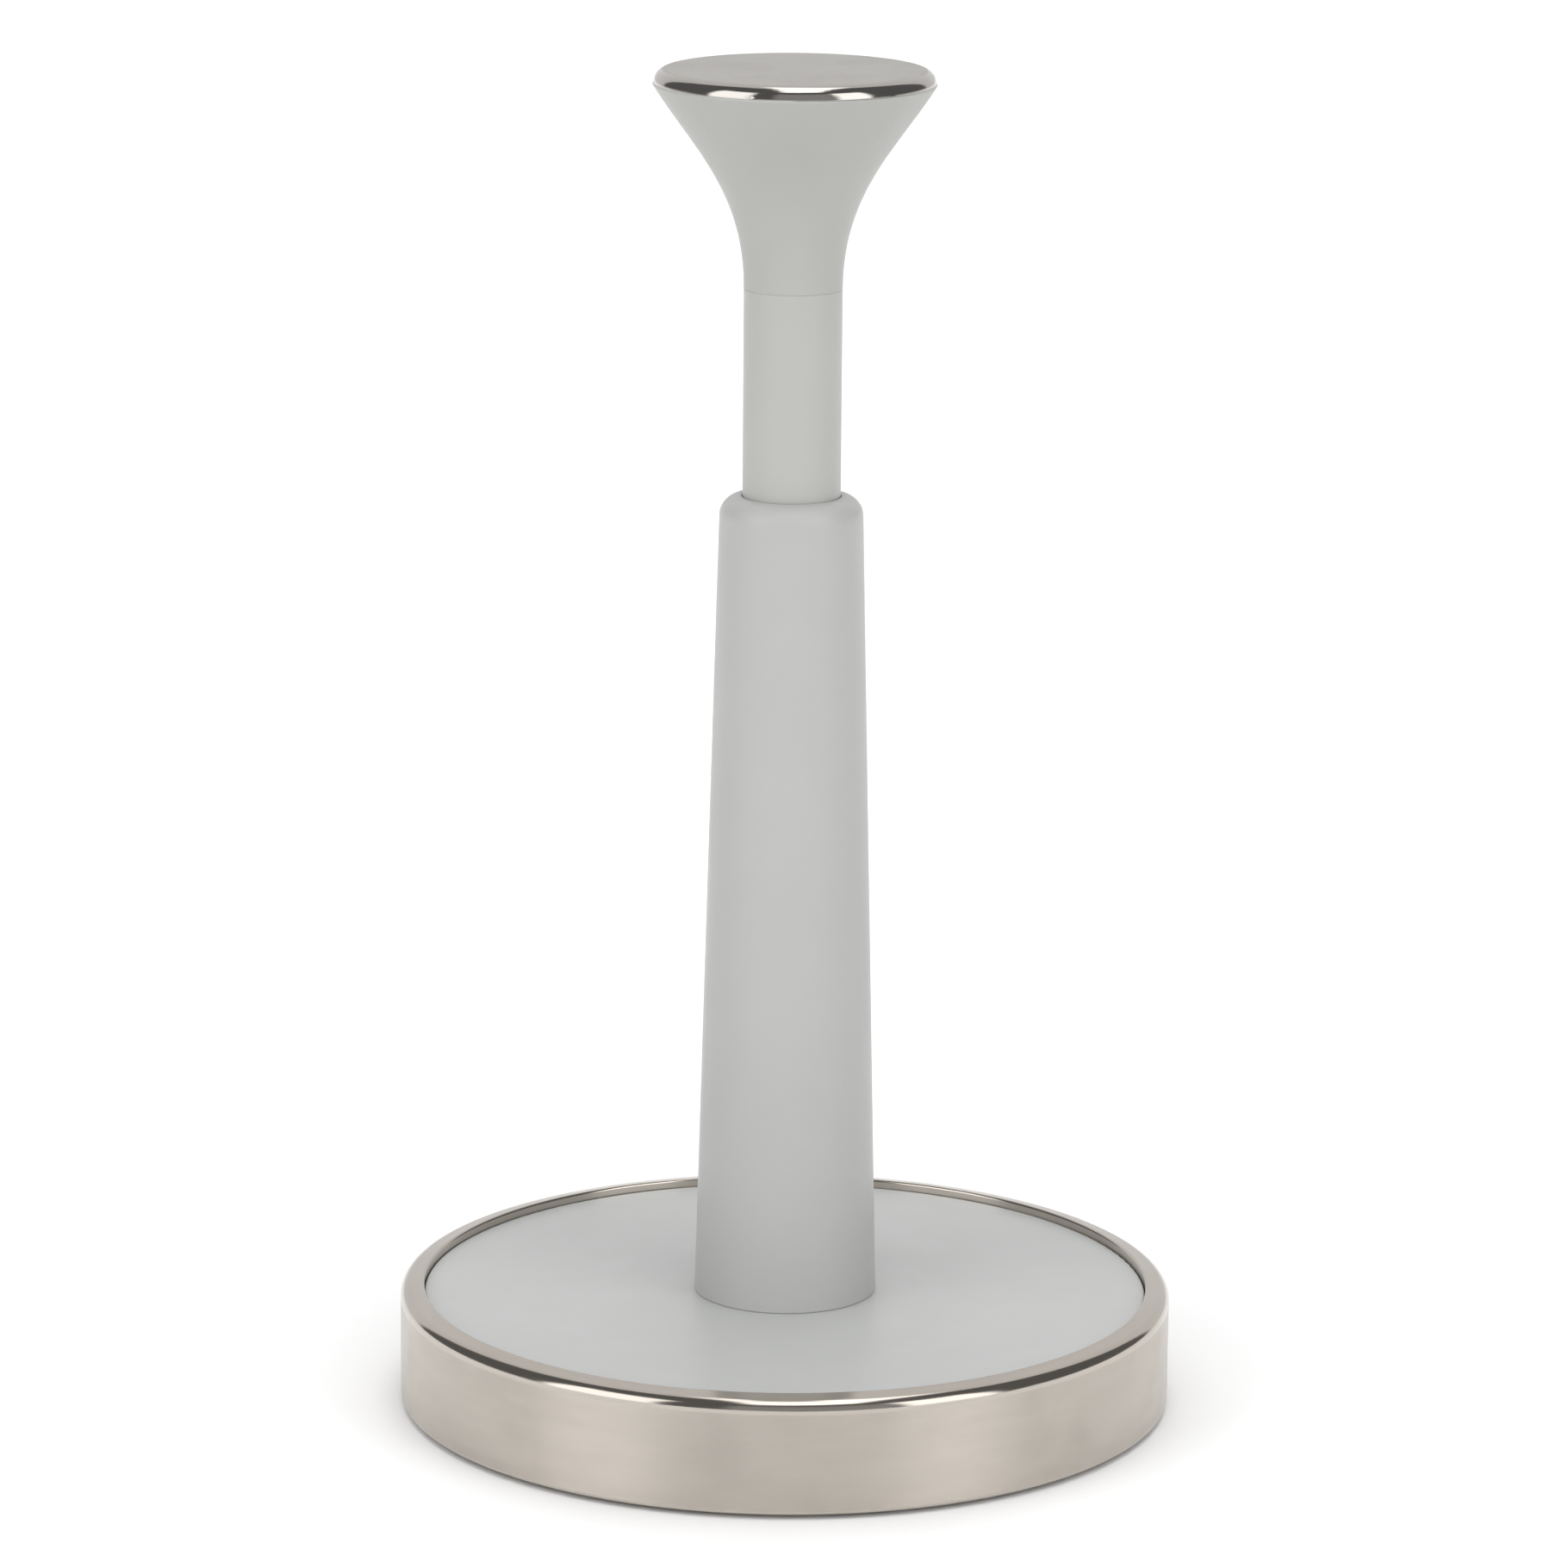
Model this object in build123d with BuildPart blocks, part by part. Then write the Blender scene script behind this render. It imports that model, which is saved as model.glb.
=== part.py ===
from build123d import *
import math
import os

# Paper towel holder: a weighted round base, a tapered column standing on it, and a handle whose rod
# drops into the column. The handle turns freely, and lifts out so that a roll can be put on.
# Millimetres, +Z up, the origin on the worktop under the middle of the column.

# Driving dimensions

# Base
base_radius = 82.5
rim_bottom = 1.0
rim_top = 25.9
lip_fall = 0.9
rim_wall = 3.2
lip_inner_radius = 77.4
ledge_inner_radius = 73.0
ledge_bottom = 19.0
ledge_top = 21.0
rim_top_rounding = 2.4
rim_bottom_rounding = 0.8
lip_inner_rounding = 0.5
plate_radius = 77.32
plate_top = 24.0
plate_thickness = 1.6
plate_edge_rounding = 0.5

# Column
column_top = 197.2
column_foot_radius = 19.43
column_top_radius = 15.0
column_wall = 1.5
column_roof = 2.4
column_shoulder_rounding = 4.3
column_foot_rounding = 0.3
mouth_radius = 10.4
mouth_rounding = 0.3

# Handle
rod_radius = 10.3
rod_wall = 1.5
rod_bottom = 120.0
knob_bottom = 240.9
knob_lip = 283.8
knob_lip_radius = 29.44
knob_flare_angle = 32.0
knob_flare_start_pull = 20.3
knob_flare_end_pull = 15.2
knob_lip_rounding = 0.35
seam_bevel = 0.08
cap_radius = 29.25
cap_top = 286.6
cap_top_rounding = 2.75

# Fits: a sliding fit is the radial gap between the handle and its guides
sliding_gap = 0.08
loose_gap = 0.2
bore_radius = rod_radius + sliding_gap

# Fasteners
bolt_radius = 4.0
bolt_clearance_radius = 4.5
bolt_head_across_flats = 13.0
bolt_head_height = 5.3
washer_radius = 8.0
washer_thickness = 1.6
spring_washer_radius = 6.6
spring_washer_thickness = 2.0
spring_washer_gap = 1.2
pin_radius = 2.0
pin_offset = 11.0
cover_screw_count = 4
cover_screw_circle = 50.0
cover_screw_radius = 2.0
cover_screw_head_radius = 3.6
cover_screw_head_height = 2.4
cross_slot_width = 0.9
cross_slot_length = 4.0
cross_slot_depth = 1.4

os.makedirs("parts", exist_ok=True)


def save(piece, label):
    """Label a finished piece and write it under its own name."""
    piece.part.label = label
    export_step(piece.part, f"parts/{label}.step")


def column_outer_radius(height):
    """Radius of the column's straight taper at a height above the worktop."""
    climbed = (height - plate_top) / (column_top - plate_top)
    return column_foot_radius + climbed * (column_top_radius - column_foot_radius)


def column_inner_radius(height):
    """Radius of the column's inner wall, which follows the same taper."""
    return column_outer_radius(height) - column_wall


def corner(sketch, radius, height):
    """The corner of a turned profile that lies nearest to a radius and a height."""
    target = Vector(radius, height)
    return sketch.vertices().sort_by_distance(target)[0]


# Base: rim, top plate, ballast, bottom cover, foot ring and cover screws

# Rim: a cast ring with a ledge inside that the top plate rests on and the ballast pulls up against. Its
# lip falls a little towards the outside.
rim_inner_radius = base_radius - rim_wall
with BuildPart() as base_rim:
    with BuildSketch(Plane.XZ) as rim_profile:
        with BuildLine():
            Polyline(
                (base_radius, rim_bottom),
                (base_radius, rim_top - lip_fall),
                (lip_inner_radius, rim_top),
                (lip_inner_radius, ledge_top),
                (ledge_inner_radius, ledge_top),
                (ledge_inner_radius, ledge_bottom),
                (rim_inner_radius, ledge_bottom),
                (rim_inner_radius, rim_bottom),
                close=True,
            )
        make_face()
        fillet(corner(rim_profile, base_radius, rim_top - lip_fall), rim_top_rounding)
        fillet(corner(rim_profile, base_radius, rim_bottom), rim_bottom_rounding)
        fillet(corner(rim_profile, lip_inner_radius, rim_top), lip_inner_rounding)
    revolve(axis=Axis.Z)
save(base_rim, "base_rim")

# Top plate: a pressed steel disc whose turned-down edge stands on the rim's ledge.
plate_bottom = plate_top - plate_thickness
plate_skirt_radius = plate_radius - plate_thickness
with BuildPart() as top_plate:
    with BuildSketch(Plane.XZ) as plate_profile:
        with BuildLine():
            Polyline(
                (bolt_clearance_radius, plate_top),
                (plate_radius, plate_top),
                (plate_radius, ledge_top),
                (plate_skirt_radius, ledge_top),
                (plate_skirt_radius, plate_bottom),
                (bolt_clearance_radius, plate_bottom),
                close=True,
            )
        make_face()
        fillet(corner(plate_profile, plate_radius, plate_top), plate_edge_rounding)
    revolve(axis=Axis.Z)
    with Locations((pin_offset, 0, plate_top)):
        Hole(pin_radius)
save(top_plate, "top_plate")

# Ballast: a cast iron disc under the ledge, with a boss that carries the middle of the plate.
ballast_bottom = 9.0
ballast_gap = 0.5
ballast_radius = rim_inner_radius - ballast_gap
ballast_boss_radius = 22.0
bolt_recess_radius = 10.0
bolt_recess_roof = 15.0
cover_screw_depth = 6.5
pin_hole_depth = 5.0
with BuildPart() as ballast_disc:
    with BuildSketch(Plane.XZ):
        with BuildLine():
            Polyline(
                (bolt_clearance_radius, plate_bottom),
                (ballast_boss_radius, plate_bottom),
                (ballast_boss_radius, ledge_bottom),
                (ballast_radius, ledge_bottom),
                (ballast_radius, ballast_bottom),
                (bolt_recess_radius, ballast_bottom),
                (bolt_recess_radius, bolt_recess_roof),
                (bolt_clearance_radius, bolt_recess_roof),
                close=True,
            )
        make_face()
    revolve(axis=Axis.Z)
    with BuildSketch(Plane.XY.offset(ballast_bottom)):
        with PolarLocations(cover_screw_circle, cover_screw_count):
            Circle(cover_screw_radius)
    extrude(amount=cover_screw_depth, mode=Mode.SUBTRACT)
    with BuildSketch(Plane.XY.offset(plate_bottom)):
        with Locations((pin_offset, 0)):
            Circle(pin_radius)
    extrude(amount=-pin_hole_depth, mode=Mode.SUBTRACT)
save(ballast_disc, "ballast_disc")

# Bottom cover: a moulded tray with a groove for the foot ring, two stiffening ribs that reach the
# ballast, and a counterbored post for each screw.
cover_bottom = 2.0
cover_thickness = 2.5
cover_top = cover_bottom + cover_thickness
cover_radius = rim_inner_radius - loose_gap
foot_groove_roof = 3.0
foot_outer_radius = 78.0
foot_inner_radius = 69.0
rib_radii = (34.0, 66.0)
rib_thickness = 2.0
screw_post_radius = 5.5
screw_recess_depth = 3.0
screw_recess_radius = cover_screw_head_radius + loose_gap
screw_clearance_radius = cover_screw_radius + loose_gap
with BuildPart() as bottom_cover:
    with BuildSketch(Plane.XY.offset(cover_bottom)):
        Circle(cover_radius)
    extrude(amount=cover_thickness)
    for rib_radius in rib_radii:
        with BuildSketch(Plane.XY.offset(cover_top)):
            Circle(rib_radius + rib_thickness / 2)
            Circle(rib_radius - rib_thickness / 2, mode=Mode.SUBTRACT)
        extrude(amount=ballast_bottom - cover_top)
    with BuildSketch(Plane.XY.offset(cover_top)):
        with PolarLocations(cover_screw_circle, cover_screw_count):
            Circle(screw_post_radius)
    extrude(amount=ballast_bottom - cover_top)
    with BuildSketch(Plane.XY.offset(cover_bottom)):
        Circle(foot_outer_radius)
        Circle(foot_inner_radius, mode=Mode.SUBTRACT)
    extrude(amount=foot_groove_roof - cover_bottom, mode=Mode.SUBTRACT)
    with BuildSketch(Plane.XY.offset(cover_bottom)):
        with PolarLocations(cover_screw_circle, cover_screw_count):
            Circle(screw_recess_radius)
    extrude(amount=screw_recess_depth, mode=Mode.SUBTRACT)
    with BuildSketch(Plane.XY.offset(cover_bottom)):
        with PolarLocations(cover_screw_circle, cover_screw_count):
            Circle(screw_clearance_radius)
    extrude(amount=ballast_bottom - cover_bottom, mode=Mode.SUBTRACT)
save(bottom_cover, "bottom_cover")

# Foot ring: a soft ring in the cover's groove, and all that touches the worktop.
foot_edge_rounding = 0.6
with BuildPart() as foot_ring:
    with BuildSketch(Plane.XZ) as foot_profile:
        with BuildLine():
            Polyline(
                (foot_inner_radius, 0),
                (foot_outer_radius, 0),
                (foot_outer_radius, foot_groove_roof),
                (foot_inner_radius, foot_groove_roof),
                close=True,
            )
        make_face()
        fillet(corner(foot_profile, foot_inner_radius, 0), foot_edge_rounding)
        fillet(corner(foot_profile, foot_outer_radius, 0), foot_edge_rounding)
    revolve(axis=Axis.Z)
save(foot_ring, "foot_ring")

# Cover screws: pan heads with a cross recess, from below into the ballast.
screw_head_top = cover_bottom + screw_recess_depth
screw_head_bottom = screw_head_top - cover_screw_head_height
screw_tip_gap = 0.5
screw_tip = ballast_bottom + cover_screw_depth - screw_tip_gap
with BuildPart() as cover_screws:
    with BuildSketch(Plane.XY.offset(screw_head_bottom)):
        with PolarLocations(cover_screw_circle, cover_screw_count):
            Circle(cover_screw_head_radius)
    extrude(amount=cover_screw_head_height)
    with BuildSketch(Plane.XY.offset(screw_head_top)):
        with PolarLocations(cover_screw_circle, cover_screw_count):
            Circle(cover_screw_radius)
    extrude(amount=screw_tip - screw_head_top)
    with BuildSketch(Plane.XY.offset(screw_head_bottom)):
        with PolarLocations(cover_screw_circle, cover_screw_count):
            Rectangle(cross_slot_length, cross_slot_width)
            Rectangle(cross_slot_width, cross_slot_length)
    extrude(amount=cross_slot_depth, mode=Mode.SUBTRACT)
save(cover_screws, "cover_screws")

# Column: sleeve, foot plug, pin, bolt and washers

# Column sleeve: a drawn steel shell, tapered, closed at the top down to the mouth for the rod.
column_inner_top = column_top - column_roof
with BuildPart() as column_sleeve:
    with BuildSketch(Plane.XZ) as sleeve_profile:
        with BuildLine():
            Polyline(
                (column_foot_radius, plate_top),
                (column_top_radius, column_top),
                (mouth_radius, column_top),
                (mouth_radius, column_inner_top),
                (column_inner_radius(column_inner_top), column_inner_top),
                (column_inner_radius(plate_top), plate_top),
                close=True,
            )
        make_face()
        fillet(corner(sleeve_profile, column_foot_radius, plate_top), column_foot_rounding)
        fillet(corner(sleeve_profile, mouth_radius, column_top), mouth_rounding)
        fillet(corner(sleeve_profile, column_top_radius, column_top), column_shoulder_rounding)
    revolve(axis=Axis.Z)
save(column_sleeve, "column_sleeve")

# Column foot: a steel plug welded inside the sleeve, tapped for the bolt and drilled for the pin.
foot_plug_top = 42.0
foot_thread_top = 38.0
pin_foot_depth = 6.0
with BuildPart() as column_foot:
    with BuildSketch(Plane.XZ):
        with BuildLine():
            Polyline(
                (bolt_radius, plate_top),
                (column_inner_radius(plate_top), plate_top),
                (column_inner_radius(foot_plug_top), foot_plug_top),
                (0, foot_plug_top),
                (0, foot_thread_top),
                (bolt_radius, foot_thread_top),
                close=True,
            )
        make_face()
    revolve(axis=Axis.Z)
    with BuildSketch(Plane.XY.offset(plate_top)):
        with Locations((pin_offset, 0)):
            Circle(pin_radius)
    extrude(amount=pin_foot_depth, mode=Mode.SUBTRACT)
save(column_foot, "column_foot")

# Locating pin: keeps the column from turning on the base.
pin_end_gap = 0.5
pin_bottom = plate_bottom - pin_hole_depth + pin_end_gap
pin_top = plate_top + pin_foot_depth - pin_end_gap
with BuildPart() as locating_pin:
    with BuildSketch(Plane.XY.offset(pin_bottom)):
        with Locations((pin_offset, 0)):
            Circle(pin_radius)
    extrude(amount=pin_top - pin_bottom)
    chamfer(locating_pin.edges().filter_by(GeomType.CIRCLE), pin_end_gap)
save(locating_pin, "locating_pin")

# Flat washer under the roof of the ballast's recess.
flat_washer_bottom = bolt_recess_roof - washer_thickness
with BuildPart() as flat_washer:
    with BuildSketch(Plane.XY.offset(flat_washer_bottom)):
        Circle(washer_radius)
        Circle(bolt_clearance_radius, mode=Mode.SUBTRACT)
    extrude(amount=washer_thickness)
save(flat_washer, "flat_washer")

# Spring washer: split, between the bolt's head and the flat washer.
spring_washer_bottom = flat_washer_bottom - spring_washer_thickness
with BuildPart() as spring_washer:
    with BuildSketch(Plane.XY.offset(spring_washer_bottom)):
        Circle(spring_washer_radius)
        Circle(bolt_clearance_radius, mode=Mode.SUBTRACT)
        with Locations((0, spring_washer_radius)):
            Rectangle(spring_washer_gap, spring_washer_radius, mode=Mode.SUBTRACT)
    extrude(amount=spring_washer_thickness)
save(spring_washer, "spring_washer")

# Column bolt: a hexagon head bolt up through ballast and plate into the column's foot.
bolt_head_bottom = spring_washer_bottom - bolt_head_height
bolt_tip_gap = 2.0
bolt_head_chamfer = 0.4
with BuildPart() as column_bolt:
    with BuildSketch(Plane.XY.offset(bolt_head_bottom)):
        RegularPolygon(bolt_head_across_flats / 2, 6, major_radius=False)
    extrude(amount=bolt_head_height)
    chamfer(column_bolt.edges().group_by(Axis.Z)[0], bolt_head_chamfer)
    with BuildSketch(Plane.XY.offset(spring_washer_bottom)):
        Circle(bolt_radius)
    extrude(amount=foot_thread_top - bolt_tip_gap - spring_washer_bottom)
save(column_bolt, "column_bolt")

# Handle guides inside the column: socket tube, stop plug, seat pad and mouth bush

# Mouth bush: a nylon ring wedged in the taper under the column's mouth.
bush_bottom = 178.0
bush_chamfer = 0.6
with BuildPart() as guide_bush:
    with BuildSketch(Plane.XZ) as bush_profile:
        with BuildLine():
            Polyline(
                (bore_radius, bush_bottom),
                (column_inner_radius(bush_bottom), bush_bottom),
                (column_inner_radius(column_inner_top), column_inner_top),
                (bore_radius, column_inner_top),
                close=True,
            )
        make_face()
        chamfer(corner(bush_profile, bore_radius, column_inner_top), bush_chamfer)
        chamfer(corner(bush_profile, bore_radius, bush_bottom), bush_chamfer)
    revolve(axis=Axis.Z)
save(guide_bush, "guide_bush")

# Socket tube: stands on the column's foot, holds the bush up and guides the foot of the rod.
socket_wall = 1.5
with BuildPart() as socket_tube:
    with BuildSketch(Plane.XY.offset(foot_plug_top)):
        Circle(bore_radius + socket_wall)
        Circle(bore_radius, mode=Mode.SUBTRACT)
    extrude(amount=bush_bottom - foot_plug_top)
save(socket_tube, "socket_tube")

# Stop plug: pressed into the socket tube at the depth where the rod comes to rest.
seat_thickness = 3.0
stop_top = rod_bottom - seat_thickness
stop_height = 10.0
with BuildPart() as stop_plug:
    with BuildSketch(Plane.XY.offset(stop_top - stop_height)):
        Circle(bore_radius)
    extrude(amount=stop_height)
save(stop_plug, "stop_plug")

# Seat pad: a soft disc on the stop plug, so that the handle lands quietly.
with BuildPart() as seat_pad:
    with BuildSketch(Plane.XY.offset(stop_top)):
        Circle(rod_radius)
    extrude(amount=seat_thickness)
save(seat_pad, "seat_pad")

# Handle: end plug, glide ring, rod, top insert, stud, knob, washer and cap

# Rod end plug: a turned plug with a groove for the glide ring and a spigot inside the rod.
rod_inner_radius = rod_radius - rod_wall
plug_collar_height = 10.0
plug_spigot_height = 12.0
groove_height = 3.0
groove_width = 4.0
tube_bottom = rod_bottom + plug_collar_height
plug_top = tube_bottom + plug_spigot_height
groove_bottom = rod_bottom + groove_height
groove_top = groove_bottom + groove_width
groove_floor_radius = 8.0
plug_rounding = 0.8
with BuildPart() as rod_end_plug:
    with BuildSketch(Plane.XZ) as plug_profile:
        with BuildLine():
            Polyline(
                (0, rod_bottom),
                (rod_radius, rod_bottom),
                (rod_radius, groove_bottom),
                (groove_floor_radius, groove_bottom),
                (groove_floor_radius, groove_top),
                (rod_radius, groove_top),
                (rod_radius, tube_bottom),
                (rod_inner_radius, tube_bottom),
                (rod_inner_radius, plug_top),
                (0, plug_top),
                close=True,
            )
        make_face()
        fillet(corner(plug_profile, rod_radius, rod_bottom), plug_rounding)
        chamfer(corner(plug_profile, rod_inner_radius, plug_top), plug_rounding)
    revolve(axis=Axis.Z)
save(rod_end_plug, "rod_end_plug")

# Glide ring: a split acetal ring that slides in the socket while the handle turns inside it.
ring_side_gap = 0.1
ring_gap = 0.04
ring_split = 1.0
with BuildPart() as glide_ring:
    with BuildSketch(Plane.XY.offset(groove_bottom + ring_side_gap)):
        Circle(bore_radius - ring_gap)
        Circle(groove_floor_radius + ring_gap, mode=Mode.SUBTRACT)
        with Locations((0, rod_radius)):
            Rectangle(ring_split, rod_radius, mode=Mode.SUBTRACT)
    extrude(amount=groove_top - groove_bottom - 2 * ring_side_gap)
save(glide_ring, "glide_ring")

# Lift rod: a straight steel tube between the end plug and the knob.
with BuildPart() as lift_rod:
    with BuildSketch(Plane.XY.offset(tube_bottom)):
        Circle(rod_radius)
        Circle(rod_inner_radius, mode=Mode.SUBTRACT)
    extrude(amount=knob_bottom - tube_bottom)
    chamfer(lift_rod.faces().sort_by(Axis.Z)[-1].outer_wire().edges(), seam_bevel)
save(lift_rod, "lift_rod")

# Rod top insert: a tapped slug brazed flush in the top of the rod.
stud_radius = 4.0
top_insert_length = 18.0
top_insert_thread = 14.0
top_insert_bottom = knob_bottom - top_insert_length
with BuildPart() as rod_top_insert:
    with BuildSketch(Plane.XY.offset(top_insert_bottom)):
        Circle(rod_inner_radius)
    extrude(amount=top_insert_length)
    with BuildSketch(Plane.XY.offset(knob_bottom - top_insert_thread)):
        Circle(stud_radius)
    extrude(amount=top_insert_thread, mode=Mode.SUBTRACT)
save(rod_top_insert, "rod_top_insert")

# Knob: a trumpet moulded hollow, its flare one smooth curve from the rod to the lip.
flare = math.radians(knob_flare_angle)
flare_bottom = knob_bottom + seam_bevel
flare_top = knob_lip - knob_lip_rounding
lip_round_middle = knob_lip_rounding * math.sqrt(0.5)
knob_wall = 3.9
knob_floor = 262.0
knob_floor_radius = 10.0
knob_hollow_height = 272.0
knob_hollow_radius = 17.6
knob_hollow_top_radius = knob_lip_radius - knob_wall
knob_bore_radius = stud_radius + loose_gap
with BuildPart() as knob_body:
    with BuildSketch(Plane.XZ):
        with BuildLine():
            Bezier(
                (rod_radius, flare_bottom),
                (rod_radius, flare_bottom + knob_flare_start_pull),
                (
                    knob_lip_radius - knob_flare_end_pull * math.sin(flare),
                    flare_top - knob_flare_end_pull * math.cos(flare),
                ),
                (knob_lip_radius, flare_top),
            )
            ThreePointArc(
                (knob_lip_radius, flare_top),
                (knob_lip_radius - knob_lip_rounding + lip_round_middle, flare_top + lip_round_middle),
                (knob_lip_radius - knob_lip_rounding, knob_lip),
            )
            Polyline(
                (knob_lip_radius - knob_lip_rounding, knob_lip),
                (knob_hollow_top_radius, knob_lip),
                (knob_hollow_radius, knob_hollow_height),
                (knob_floor_radius, knob_floor),
                (knob_bore_radius, knob_floor),
                (knob_bore_radius, knob_bottom),
                (rod_radius - seam_bevel, knob_bottom),
                (rod_radius, flare_bottom),
            )
        make_face()
    revolve(axis=Axis.Z)
save(knob_body, "knob_body")

# Knob washer: a fibre washer between the knob's floor and the cap's boss.
knob_washer_radius = 7.0
knob_washer_thickness = 1.5
knob_washer_top = knob_floor + knob_washer_thickness
with BuildPart() as knob_washer:
    with BuildSketch(Plane.XY.offset(knob_floor)):
        Circle(knob_washer_radius)
        Circle(knob_bore_radius, mode=Mode.SUBTRACT)
    extrude(amount=knob_washer_thickness)
save(knob_washer, "knob_washer")

# Knob stud: a threaded rod from the top insert, up through the knob, into the cap's boss.
cap_thread_top = 276.0
stud_end_gap = 2.0
stud_bottom = knob_bottom - top_insert_thread + stud_end_gap
with BuildPart() as knob_stud:
    with BuildSketch(Plane.XY.offset(stud_bottom)):
        Circle(stud_radius)
    extrude(amount=cap_thread_top - stud_end_gap - stud_bottom)
save(knob_stud, "knob_stud")

# Cap: a turned metal disc with a rounded edge, a spigot that centres it in the knob, and a tapped
# boss that screws down on the stud and clamps the knob to the rod.
cap_boss_radius = 6.5
spigot_depth = 2.0
spigot_wall = 1.8
spigot_slope = (knob_hollow_top_radius - knob_hollow_radius) / (knob_lip - knob_hollow_height)
spigot_top_radius = knob_hollow_top_radius - loose_gap
spigot_bottom_radius = spigot_top_radius - spigot_depth * spigot_slope
with BuildPart() as cap:
    with BuildSketch(Plane.XZ) as cap_profile:
        with BuildLine():
            Polyline(
                (0, cap_top),
                (cap_radius, cap_top),
                (cap_radius, knob_lip),
                (spigot_top_radius, knob_lip),
                (spigot_bottom_radius, knob_lip - spigot_depth),
                (spigot_bottom_radius - spigot_wall, knob_lip - spigot_depth),
                (spigot_bottom_radius - spigot_wall, knob_lip),
                (cap_boss_radius, knob_lip),
                (cap_boss_radius, knob_washer_top),
                (stud_radius, knob_washer_top),
                (stud_radius, cap_thread_top),
                (0, cap_thread_top),
                close=True,
            )
        make_face()
        fillet(corner(cap_profile, cap_radius, cap_top), cap_top_rounding)
    revolve(axis=Axis.Z)
save(cap, "cap")
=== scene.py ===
import math

import bpy
from mathutils import Matrix, Vector


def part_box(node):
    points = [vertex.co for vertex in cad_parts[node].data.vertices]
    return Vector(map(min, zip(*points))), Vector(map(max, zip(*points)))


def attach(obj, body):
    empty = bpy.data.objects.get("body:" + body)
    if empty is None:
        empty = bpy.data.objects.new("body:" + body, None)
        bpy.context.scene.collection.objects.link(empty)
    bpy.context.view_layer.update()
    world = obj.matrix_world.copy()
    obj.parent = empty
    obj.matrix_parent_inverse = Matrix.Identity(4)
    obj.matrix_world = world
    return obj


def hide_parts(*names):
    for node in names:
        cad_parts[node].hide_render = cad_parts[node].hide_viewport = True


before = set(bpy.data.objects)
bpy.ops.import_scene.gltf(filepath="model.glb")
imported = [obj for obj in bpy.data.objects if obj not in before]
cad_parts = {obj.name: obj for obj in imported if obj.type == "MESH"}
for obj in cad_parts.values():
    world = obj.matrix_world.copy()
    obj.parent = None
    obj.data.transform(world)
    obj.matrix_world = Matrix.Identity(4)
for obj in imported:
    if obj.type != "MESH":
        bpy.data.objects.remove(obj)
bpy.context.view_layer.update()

# Camera: a long lens 1.4 m in front of the holder, looking a little down on it and turned by half a degree
# about its own line of sight.
camera_place = Vector((0.0, -1.40126, 0.46502))
camera_tilt_down = math.radians(13.2506)
camera_turn = math.radians(0.044)
camera_roll = math.radians(0.4731)
camera_data = bpy.data.cameras.new("camera")
camera_data.lens = 156.381
camera_data.sensor_width = 36.0
camera_data.clip_start = 0.05
camera_data.clip_end = 60.0
camera = bpy.data.objects.new("camera", camera_data)
camera_level = Matrix.Rotation(camera_turn, 4, "Z")
camera_aim = camera_level @ Matrix.Rotation(math.pi / 2 - camera_tilt_down, 4, "X")
camera.matrix_world = Matrix.Translation(camera_place) @ camera_aim @ Matrix.Rotation(camera_roll, 4, "Z")
bpy.context.scene.collection.objects.link(camera)
bpy.context.scene.camera = camera
bpy.context.scene.view_settings.view_transform = "Standard"


# Studio: a plain pale floor in a light tent with a pale back wall. The tent's front is dark, which gives
# polished metal its dark bands, but for two soft boxes, a grey panel between them and a bright strip
# overhead. A broad light from above the camera fills in the painted faces, and metal doesn't reflect it.
def feed(tree, socket, value):
    """Links an output socket to an input, or sets the input to a plain value."""
    if isinstance(value, bpy.types.NodeSocket):
        tree.links.new(value, socket)
    else:
        socket.default_value = value


def add_node(tree, kind, **inputs):
    """Adds a node of a kind; each keyword feeds the input of that name, with _ for a space."""
    made = tree.nodes.new("ShaderNode" + kind)
    for name, value in inputs.items():
        feed(tree, made.inputs[name.replace("_", " ")], value)
    return made


def add_math(tree, operation, *operands):
    """Adds a Math node whose operands are numbers or output sockets, and returns its output."""
    made = tree.nodes.new("ShaderNodeMath")
    made.operation = operation
    for socket, operand in zip(made.inputs, operands):
        feed(tree, socket, operand)
    return made.outputs["Value"]


def add_remap(tree, value, low, high, to_low, to_high):
    """Remaps a socket's value smoothly from one range to another, held at the ends."""
    made = add_node(tree, "MapRange", Value=value, From_Min=low, From_Max=high, To_Min=to_low, To_Max=to_high)
    made.interpolation_type = "SMOOTHSTEP"
    return made.outputs["Result"]


def add_window(tree, value, low, high, edge):
    """A mask that is 1 where a socket's value lies between low and high, with soft edges."""
    entered = add_remap(tree, value, low - edge, low + edge, 0.0, 1.0)
    not_left = add_remap(tree, value, high - edge, high + edge, 1.0, 0.0)
    return add_math(tree, "MULTIPLY", entered, not_left)


def add_blend(tree, mask, below, above):
    """Blends by a mask from one number or socket, where it is 0, to another, where it is 1."""
    return add_node(tree, "Mix", Factor=mask, A=below, B=above).outputs["Result"]


floor_half = 8.0
floor_mesh = bpy.data.meshes.new("floor")
floor_corners = [(x * floor_half, y * floor_half, 0) for x, y in ((-1, -1), (1, -1), (1, 1), (-1, 1))]
floor_mesh.from_pydata(floor_corners, [], [(0, 1, 2, 3)])
floor = bpy.data.objects.new("floor", floor_mesh)
bpy.context.scene.collection.objects.link(floor)
floor_material = bpy.data.materials.new("floor")
floor_material.use_nodes = True
floor_shader = floor_material.node_tree.nodes["Principled BSDF"]
floor_shader.inputs["Base Color"].default_value = (0.88, 0.88, 0.88, 1)
floor_shader.inputs["Roughness"].default_value = 0.9
floor_shader.inputs["Specular IOR Level"].default_value = 0.1
floor_mesh.materials.append(floor_material)

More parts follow.
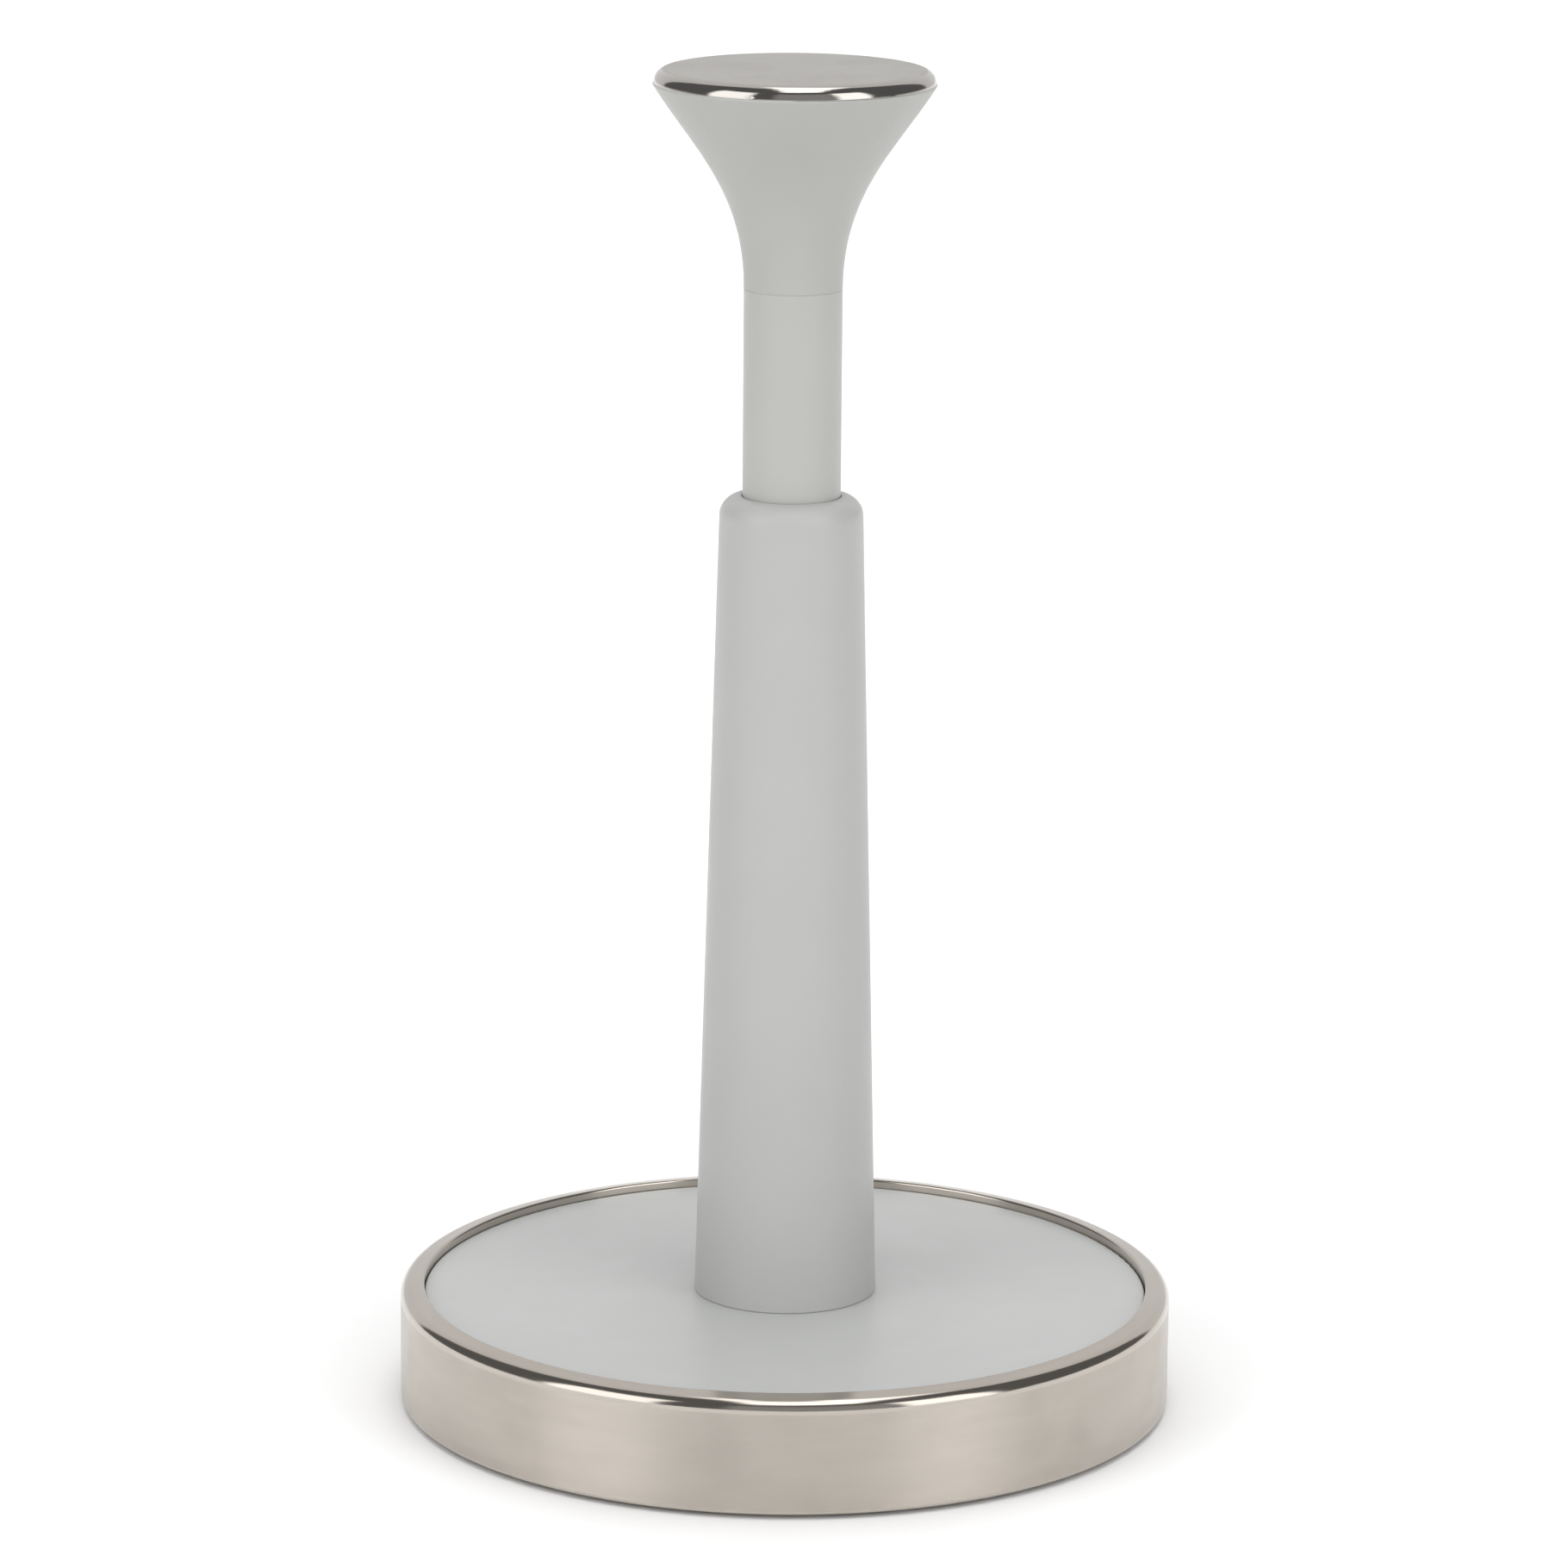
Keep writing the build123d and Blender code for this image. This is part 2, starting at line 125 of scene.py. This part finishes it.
wall_brightness = 0.8
patch_edge = 3.0
past_zenith = 95.0
# Each patch of the tent: its two azimuths, its two elevations and its brightness. Azimuth 0 is where the
# camera stands and +90 is +X; both are in degrees. A patch that ends past the zenith has no upper edge.
tent_patches = {
    "dark front": (-134.0, 134.0, 0.0, past_zenith, 0.14),
    "left soft box": (-74.0, -38.0, 0.0, 46.0, 1.95),
    "right soft box": (36.0, 65.0, 0.0, 46.0, 2.05),
    "grey panel": (-17.0, 33.0, 0.0, 44.0, 0.36),
}
# The strip overhead runs from front to back between two values of the direction's X.
strip_across = (-0.13, 0.26)
strip_edge = 0.03
strip_starts = 62.0
strip_brightness = 2.2

world = bpy.data.worlds.new("studio")
bpy.context.scene.world = world
world.use_nodes = True
sky = world.node_tree
toward = add_node(sky, "SeparateXYZ", Vector=add_node(sky, "TexCoord").outputs["Generated"])
front = add_math(sky, "MULTIPLY", toward.outputs["Y"], -1.0)
azimuth = add_math(sky, "DEGREES", add_math(sky, "ARCTAN2", toward.outputs["X"], front))
elevation = add_math(sky, "DEGREES", add_math(sky, "ARCSINE", toward.outputs["Z"]))
glow = wall_brightness
for azimuth_from, azimuth_to, elevation_from, elevation_to, brightness in tent_patches.values():
    across = add_window(sky, azimuth, azimuth_from, azimuth_to, patch_edge)
    upward = add_window(sky, elevation, elevation_from, elevation_to, patch_edge)
    glow = add_blend(sky, add_math(sky, "MULTIPLY", across, upward), glow, brightness)
strip_width = add_window(sky, toward.outputs["X"], *strip_across, strip_edge)
strip_reach = add_window(sky, elevation, strip_starts, past_zenith, patch_edge)
glow = add_blend(sky, add_math(sky, "MULTIPLY", strip_width, strip_reach), glow, strip_brightness)
# The camera itself sees white past the floor; the tent is there for the light and the reflections.
seen = add_math(sky, "MAXIMUM", glow, add_node(sky, "LightPath").outputs["Is Camera Ray"])
feed(sky, sky.nodes["Background"].inputs["Color"], seen)

fill_data = bpy.data.lights.new("fill", "SUN")
fill_data.energy = 2.05
fill_data.angle = math.radians(120.0)
fill = bpy.data.objects.new("fill", fill_data)
fill_from = Vector((0.0, -0.48, 0.877))
fill.matrix_world = fill_from.to_track_quat("Z", "Y").to_matrix().to_4x4()
fill.visible_glossy = False
bpy.context.scene.collection.objects.link(fill)


# Rim: a cast ring plated in warm nickel. The band is brushed round and round, and the lip and its
# rounded edges are polished. The ledge inside it carries the top plate.
def new_material(name):
    """A material with a Principled shader; returns the material, its tree and the shader."""
    material = bpy.data.materials.new(name)
    material.use_nodes = True
    return material, material.node_tree, material.node_tree.nodes["Principled BSDF"]


def new_group(name, inputs, outputs):
    """A node group with number inputs {name: value} and number outputs."""
    group = bpy.data.node_groups.new(name, "ShaderNodeTree")
    for label, value in inputs.items():
        group.interface.new_socket(label, in_out="INPUT", socket_type="NodeSocketFloat").default_value = value
    for label in outputs:
        group.interface.new_socket(label, in_out="OUTPUT", socket_type="NodeSocketFloat")
    return group, group.nodes.new("NodeGroupInput"), group.nodes.new("NodeGroupOutput")


def add_group(tree, group, **inputs):
    """Places a node group in a material; each keyword feeds the input of that name."""
    made = tree.nodes.new("ShaderNodeGroup")
    made.node_tree = group
    for name, value in inputs.items():
        feed(tree, made.inputs[name.replace("_", " ")], value)
    return made


def add_vector_math(tree, operation, first, second=(0.0, 0.0, 0.0)):
    """Adds a Vector Math node on a socket and a plain vector, and returns its output."""
    made = tree.nodes.new("ShaderNodeVectorMath")
    made.operation = operation
    tree.links.new(first, made.inputs[0])
    made.inputs[1].default_value = second
    return made.outputs["Value" if operation == "LENGTH" else "Vector"]


def add_place(tree):
    """The place on the holder, as it is when the holder is at rest."""
    return add_node(tree, "TexCoord").outputs["Object"]


def add_height(tree):
    """The height above the worktop, as it is when the holder is at rest."""
    return add_node(tree, "SeparateXYZ", Vector=add_place(tree)).outputs["Z"]


def add_noise(tree, place, **inputs):
    """Adds a Noise texture at a place, its other inputs given by name, and returns its value."""
    return add_node(tree, "TexNoise", Vector=place, **inputs).outputs["Fac"]


def add_bump(tree, shader, height, distance):
    """Feeds a height, in units of distance, to the shader's normal through a Bump node."""
    bump = add_node(tree, "Bump", Height=height, Distance=distance)
    tree.links.new(bump.outputs["Normal"], shader.inputs["Normal"])


def add_tint(tree, shader, mask, dark, light):
    """Feeds Base Color with a blend from a dark to a light colour."""
    blend = tree.nodes.new("ShaderNodeMix")
    blend.data_type = "RGBA"
    blend.inputs["A"].default_value = (*dark, 1)
    blend.inputs["B"].default_value = (*light, 1)
    tree.links.new(mask, blend.inputs["Factor"])
    tree.links.new(blend.outputs["Result"], shader.inputs["Base Color"])


turning, turning_in, turning_out = new_group(
    "turning_marks", {"Lines per metre": 2600.0, "Streaks round": 5.0}, ("Height", "Streak")
)
streak_shape = (1.0, 1.0, 0.12)
level_place = add_vector_math(turning, "MULTIPLY", add_place(turning), (1.0, 1.0, 0.0))
radius = add_vector_math(turning, "LENGTH", level_place)
heading = add_node(turning, "SeparateXYZ", Vector=add_vector_math(turning, "NORMALIZE", level_place))
along_profile = add_math(turning, "SUBTRACT", add_height(turning), radius)
mark_place = add_node(
    turning, "CombineXYZ",
    X=add_math(turning, "MULTIPLY", heading.outputs["X"], turning_in.outputs["Streaks round"]),
    Y=add_math(turning, "MULTIPLY", heading.outputs["Y"], turning_in.outputs["Streaks round"]),
    Z=add_math(turning, "MULTIPLY", along_profile, turning_in.outputs["Lines per metre"])
).outputs["Vector"]
line_noise = add_noise(turning, mark_place, Scale=1.0, Detail=3.0, Roughness=0.6)
streak_place = add_vector_math(turning, "MULTIPLY", mark_place, streak_shape)
streak_noise = add_noise(turning, streak_place, Scale=1.0, Detail=2.0)
turning.links.new(line_noise, turning_out.inputs["Height"])
turning.links.new(streak_noise, turning_out.inputs["Streak"])

handling, handling_in, handling_out = new_group("handling_marks", {"Size": 0.02}, ("Smudge",))
smudge_scale = add_math(handling, "DIVIDE", 1.0, handling_in.outputs["Size"])
smudge_noise = add_noise(
    handling, add_place(handling), Scale=smudge_scale, Detail=5.0, Roughness=0.62, Distortion=0.4
)
smudge = add_remap(handling, smudge_noise, 0.42, 0.66, 0.0, 1.0)
handling.links.new(smudge, handling_out.inputs["Smudge"])


def bare_metal(name, dark, light, roughness, depth, marks_group, **marks_values):
    """A turned or drawn metal: its two tones, its roughness, and the depth and kind of its tool's marks."""
    smudge_adds = 0.05
    material, tree, shader = new_material(name)
    shader.inputs["Metallic"].default_value = 1.0
    marks = add_group(tree, marks_group, **marks_values)
    smudges = add_group(tree, handling, Size=0.02)
    add_tint(tree, shader, marks.outputs["Streak"], dark, light)
    rough = add_remap(tree, smudges.outputs["Smudge"], 0.0, 1.0, roughness, roughness + smudge_adds)
    tree.links.new(rough, shader.inputs["Roughness"])
    add_bump(tree, shader, marks.outputs["Height"], depth)
    return material


def polish(material, satin, share):
    """Multiplies a metal's roughness by a share where a mask is 0, and leaves it where the mask is 1."""
    tree = material.node_tree
    roughness = tree.nodes["Principled BSDF"].inputs["Roughness"]
    rough = roughness.links[0].from_socket
    polished = add_math(tree, "MULTIPLY", rough, share)
    tree.links.new(add_blend(tree, satin, polished, rough), roughness)


def turned_outline(corners, arc_steps):
    """A closed outline from corners (radius, height, rounding): arcs at the rounded ones, and each straight
    stretch with a point near either end, which keeps it flat under smooth shading."""
    support = 0.0001
    points = []
    for index, (radius_here, height_here, rounding) in enumerate(corners):
        here = Vector((radius_here, height_here))
        before = (Vector(corners[index - 1][:2]) - here).normalized()
        after = (Vector(corners[(index + 1) % len(corners)][:2]) - here).normalized()
        half = before.angle(after) / 2
        tangent = rounding / math.tan(half)
        start = here + before * tangent
        end = here + after * tangent
        points.append(start + before * support)
        if rounding > 0:
            middle = here + (before + after).normalized() * rounding / math.sin(half)
            for step in range(arc_steps + 1):
                chord = start.lerp(end, step / arc_steps) - middle
                points.append(middle + chord.normalized() * rounding)
        else:
            points.append(here)
        points.append(end + after * support)
    return points


def turned_piece(name, outline, round_steps):
    """A smooth closed mesh of revolution about the upright axis, from an outline of (radius, height)."""
    sharp_from = math.radians(40)
    vertices = []
    faces = []
    count = len(outline)
    for turn in range(round_steps):
        angle = 2 * math.pi * turn / round_steps
        vertices += [(p.x * math.cos(angle), p.x * math.sin(angle), p.y) for p in outline]
        following = (turn + 1) % round_steps
        for index in range(count):
            beyond = (index + 1) % count
            faces.append((turn * count + index, following * count + index, following * count + beyond,
                          turn * count + beyond))
    mesh = bpy.data.meshes.new(name)
    mesh.from_pydata(vertices, [], faces)
    mesh.shade_smooth()
    mesh.set_sharp_from_angle(angle=sharp_from)
    piece = bpy.data.objects.new(name, mesh)
    bpy.context.scene.collection.objects.link(piece)
    return piece


rim_low, rim_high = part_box("base_rim")
rim_crest = 0.0259
lip_fall = 0.0009
rim_top_rounding = 0.0024
rim_bottom_rounding = 0.0008
rim_wall = 0.0032
lip_inner_radius = 0.0774
lip_inner_rounding = 0.0005
ledge_inner_radius = 0.073
ledge_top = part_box("top_plate")[0].z
ledge_thickness = 0.002
rim_outline = turned_outline((
    (rim_high.x, rim_low.z, rim_bottom_rounding),
    (rim_high.x, rim_crest - lip_fall, rim_top_rounding),
    (lip_inner_radius, rim_crest, lip_inner_rounding),
    (lip_inner_radius, ledge_top, 0),
    (ledge_inner_radius, ledge_top, 0),
    (ledge_inner_radius, ledge_top - ledge_thickness, 0),
    (rim_high.x - rim_wall, ledge_top - ledge_thickness, 0),
    (rim_high.x - rim_wall, rim_low.z, 0),
), arc_steps=14)
rim = turned_piece("nickel_rim", rim_outline, round_steps=720)
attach(rim, "base")
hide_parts("base_rim")

band_roughness = 0.34
lip_roughness = 0.12
polish_edge = 0.0004
nickel = bare_metal(
    "warm_nickel_rim", dark=(0.51, 0.467, 0.417), light=(0.588, 0.539, 0.487), roughness=band_roughness,
    depth=0.00001, marks_group=turning, Lines_per_metre=2600.0, Streaks_round=5.0
)
nickel_tree = nickel.node_tree
nickel_shader = nickel_tree.nodes["Principled BSDF"]
nickel_shader.inputs["Anisotropic"].default_value = 0.75
nickel_shader.inputs["Anisotropic Rotation"].default_value = 0.25
round_the_rim = add_node(nickel_tree, "Tangent")
round_the_rim.direction_type = "RADIAL"
round_the_rim.axis = "Z"
nickel_tree.links.new(round_the_rim.outputs["Tangent"], nickel_shader.inputs["Tangent"])
band_low = rim_low.z + rim_bottom_rounding
band_high = rim_crest - lip_fall - rim_top_rounding
brushed = add_window(nickel_tree, add_height(nickel_tree), band_low, band_high, polish_edge)
polish(nickel, brushed, lip_roughness / band_roughness)
rim.data.materials.append(nickel)

# Ballast: a cast iron disc dipped in black paint, which gives the base its weight. The cover under it is
# moulded in black plastic, and the foot ring in the cover's groove is soft black rubber.
grain, grain_in, grain_out = new_group("moulded_grain", {"Grain": 0.0005}, ("Height", "Tone"))
grain_place = add_place(grain)
grain_scale = add_math(grain, "DIVIDE", 1.0, grain_in.outputs["Grain"])
grain_noise = add_noise(grain, grain_place, Scale=grain_scale, Detail=3.0, Roughness=0.55)
flow_noise = add_noise(grain, grain_place, Scale=45.0, Detail=4.0, Roughness=0.6, Distortion=0.6)
grain.links.new(grain_noise, grain_out.inputs["Height"])
grain.links.new(add_remap(grain, flow_noise, 0.3, 0.7, 0.0, 1.0), grain_out.inputs["Tone"])


def moulded(name, dark, light, size, depth, roughness):
    """A cast or moulded material: its two tones, the size and depth of its grain, and its roughness."""
    smudge_adds = 0.12
    material, tree, shader = new_material(name)
    surface = add_group(tree, grain, Grain=size)
    smudges = add_group(tree, handling, Size=0.025)
    add_tint(tree, shader, surface.outputs["Tone"], dark, light)
    rough = add_remap(tree, smudges.outputs["Smudge"], 0.0, 1.0, roughness, roughness + smudge_adds)
    tree.links.new(rough, shader.inputs["Roughness"])
    add_bump(tree, shader, surface.outputs["Height"], depth)
    return material


def finish_with(material, *nodes):
    """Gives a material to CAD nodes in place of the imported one."""
    for name in nodes:
        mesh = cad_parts[name].data
        mesh.materials.clear()
        mesh.materials.append(material)


dipped_iron = moulded(
    "dipped_iron", dark=(0.018, 0.018, 0.019), light=(0.034, 0.034, 0.036), size=0.0013, depth=0.00012,
    roughness=0.5
)
finish_with(dipped_iron, "ballast_disc")
black_moulding = moulded(
    "black_moulding", dark=(0.009, 0.009, 0.01), light=(0.014, 0.014, 0.015), size=0.0005, depth=0.00004,
    roughness=0.45
)
finish_with(black_moulding, "bottom_cover")
soft_rubber = moulded(
    "soft_rubber", dark=(0.012, 0.012, 0.012), light=(0.024, 0.024, 0.023), size=0.0003, depth=0.00003,
    roughness=0.72
)
finish_with(soft_rubber, "foot_ring", "seat_pad")

# Fasteners: the column bolt, its two washers, the knob's stud and the cover screws are zinc plated steel,
# still bright, with the fine rings that turning leaves.
bright_zinc = bare_metal(
    "bright_zinc", dark=(0.50, 0.52, 0.54), light=(0.63, 0.645, 0.65), roughness=0.22, depth=0.000006,
    marks_group=turning, Lines_per_metre=4200.0, Streaks_round=4.0
)
finish_with(bright_zinc, "cover_screws", "column_bolt", "flat_washer", "spring_washer", "knob_stud")

# Top plate: a pressed steel disc, powder coated in a pale cool grey. The coat is satin, with the faint
# orange peel that baked powder has, and rolls that were turned on it leave the faintest rings.
peel, peel_in, peel_out = new_group("orange_peel", {"Cell": 0.0011}, ("Height", "Tone"))
peel_place = add_place(peel)
peel_scale = add_math(peel, "DIVIDE", 1.0, peel_in.outputs["Cell"])
peel_noise = add_noise(peel, peel_place, Scale=peel_scale, Detail=2.0, Roughness=0.45)
tone_noise = add_noise(peel, peel_place, Scale=38.0, Detail=4.0, Roughness=0.6)
peel.links.new(peel_noise, peel_out.inputs["Height"])
peel.links.new(tone_noise, peel_out.inputs["Tone"])


def coat(name, dark, light, depth, marks_group, **marks_values):
    """A satin powder coat: its two tones, the depth of its orange peel, and what has brushed against it."""
    clean_roughness = 0.36
    scuffed_roughness = 0.31
    smudge_adds = 0.05
    material, tree, shader = new_material(name)
    surface = add_group(tree, peel, Cell=0.0011)
    smudges = add_group(tree, handling, Size=0.035)
    scuffs = add_group(tree, marks_group, **marks_values)
    add_tint(tree, shader, surface.outputs["Tone"], dark, light)
    scuffed = add_remap(tree, scuffs.outputs["Streak"], 0.5, 0.75, clean_roughness, scuffed_roughness)
    rough = add_math(tree, "MULTIPLY_ADD", smudges.outputs["Smudge"], smudge_adds, scuffed)
    tree.links.new(rough, shader.inputs["Roughness"])
    add_bump(tree, shader, surface.outputs["Height"], depth)
    return material


plate_coat = coat(
    "plate_powder_coat", dark=(0.417, 0.424, 0.416), light=(0.453, 0.46, 0.452), depth=0.000018,
    marks_group=turning, Lines_per_metre=900.0, Streaks_round=2.0
)
finish_with(plate_coat, "top_plate")

# Column: a drawn steel shell in the same coat, bolted down through the plate. Roll cores slide down it, so
# its scuffs run up and down. Its plug, pin, socket and stop are plain steel, as turned or drawn.
drawing, drawing_in, drawing_out = new_group(
    "drawn_marks", {"Lines per metre": 1500.0, "Marks per metre": 12.0}, ("Height", "Streak")
)
drawn_parts = add_node(drawing, "SeparateXYZ", Vector=add_place(drawing))
drawn_place = add_node(
    drawing, "CombineXYZ",
    X=add_math(drawing, "MULTIPLY", drawn_parts.outputs["X"], drawing_in.outputs["Lines per metre"]),
    Y=add_math(drawing, "MULTIPLY", drawn_parts.outputs["Y"], drawing_in.outputs["Lines per metre"]),
    Z=add_math(drawing, "MULTIPLY", drawn_parts.outputs["Z"], drawing_in.outputs["Marks per metre"])
).outputs["Vector"]
drawn_noise = add_noise(drawing, drawn_place, Scale=1.0, Detail=3.0, Roughness=0.6)
drawing.links.new(drawn_noise, drawing_out.inputs["Height"])
drawing.links.new(add_remap(drawing, drawn_noise, 0.25, 0.75, 0.0, 1.0), drawing_out.inputs["Streak"])

column_coat = coat(
    "column_powder_coat", dark=(0.402, 0.406, 0.396), light=(0.437, 0.441, 0.43), depth=0.000018,
    marks_group=drawing, Lines_per_metre=500.0, Marks_per_metre=9.0
)
finish_with(column_coat, "column_sleeve")
drawn_steel = bare_metal(
    "drawn_steel", dark=(0.40, 0.40, 0.405), light=(0.52, 0.52, 0.52), roughness=0.3, depth=0.00001,
    marks_group=drawing, Lines_per_metre=1500.0, Marks_per_metre=12.0
)
finish_with(drawn_steel, "socket_tube")
turned_steel = bare_metal(
    "turned_steel", dark=(0.42, 0.42, 0.425), light=(0.54, 0.54, 0.54), roughness=0.28, depth=0.000012,
    marks_group=turning, Lines_per_metre=3000.0, Streaks_round=3.0
)
finish_with(turned_steel, "column_foot", "locating_pin", "stop_plug", "rod_top_insert")

# Guides: the bush under the column's mouth, the rod's end plug and the split ring in its groove are natural
# nylon, smooth from the mould.
natural_nylon = moulded(
    "natural_nylon", dark=(0.66, 0.64, 0.56), light=(0.74, 0.72, 0.65), size=0.0012, depth=0.000012,
    roughness=0.36
)
finish_with(natural_nylon, "guide_bush", "rod_end_plug", "glide_ring")

# Rod: a steel tube in the same coat as the column. It slides in the nylon bush each time a roll is changed,
# which leaves faint marks along it.
rod_coat = coat(
    "rod_powder_coat", dark=(0.398, 0.402, 0.384), light=(0.433, 0.438, 0.418), depth=0.000014,
    marks_group=drawing, Lines_per_metre=800.0, Marks_per_metre=14.0
)
finish_with(rod_coat, "lift_rod")

# Knob: a hollow moulding painted to match, clamped between the rod and the cap by the stud. Its paint has a
# shallower peel than the powder coat. A washer of red vulcanised fibre spreads the load inside it.
knob_paint = coat(
    "knob_paint", dark=(0.382, 0.387, 0.367), light=(0.416, 0.421, 0.40), depth=0.000012,
    marks_group=turning, Lines_per_metre=300.0, Streaks_round=2.0
)
finish_with(knob_paint, "knob_body")
vulcanised_fibre = moulded(
    "vulcanised_fibre", dark=(0.11, 0.024, 0.014), light=(0.17, 0.04, 0.022), size=0.0004, depth=0.00003,
    roughness=0.6
)
finish_with(vulcanised_fibre, "knob_washer")

# Cap: a disc plated in nickel like the rim, screwed down on the stud. Its face is satin with fine turning
# rings, and its rounded edge is polished.
cap_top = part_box("cap")[1].z
face_roughness = 0.34
edge_roughness = 0.08
face_edge = 0.00015
satin_nickel = bare_metal(
    "satin_nickel_cap", dark=(0.468, 0.446, 0.418), light=(0.536, 0.513, 0.485), roughness=face_roughness,
    depth=0.000008, marks_group=turning, Lines_per_metre=5200.0, Streaks_round=3.0
)
cap_tree = satin_nickel.node_tree
face = add_remap(cap_tree, add_height(cap_tree), cap_top - 2 * face_edge, cap_top - face_edge / 2, 0.0, 1.0)
polish(satin_nickel, face, edge_roughness / face_roughness)
finish_with(satin_nickel, "cap")
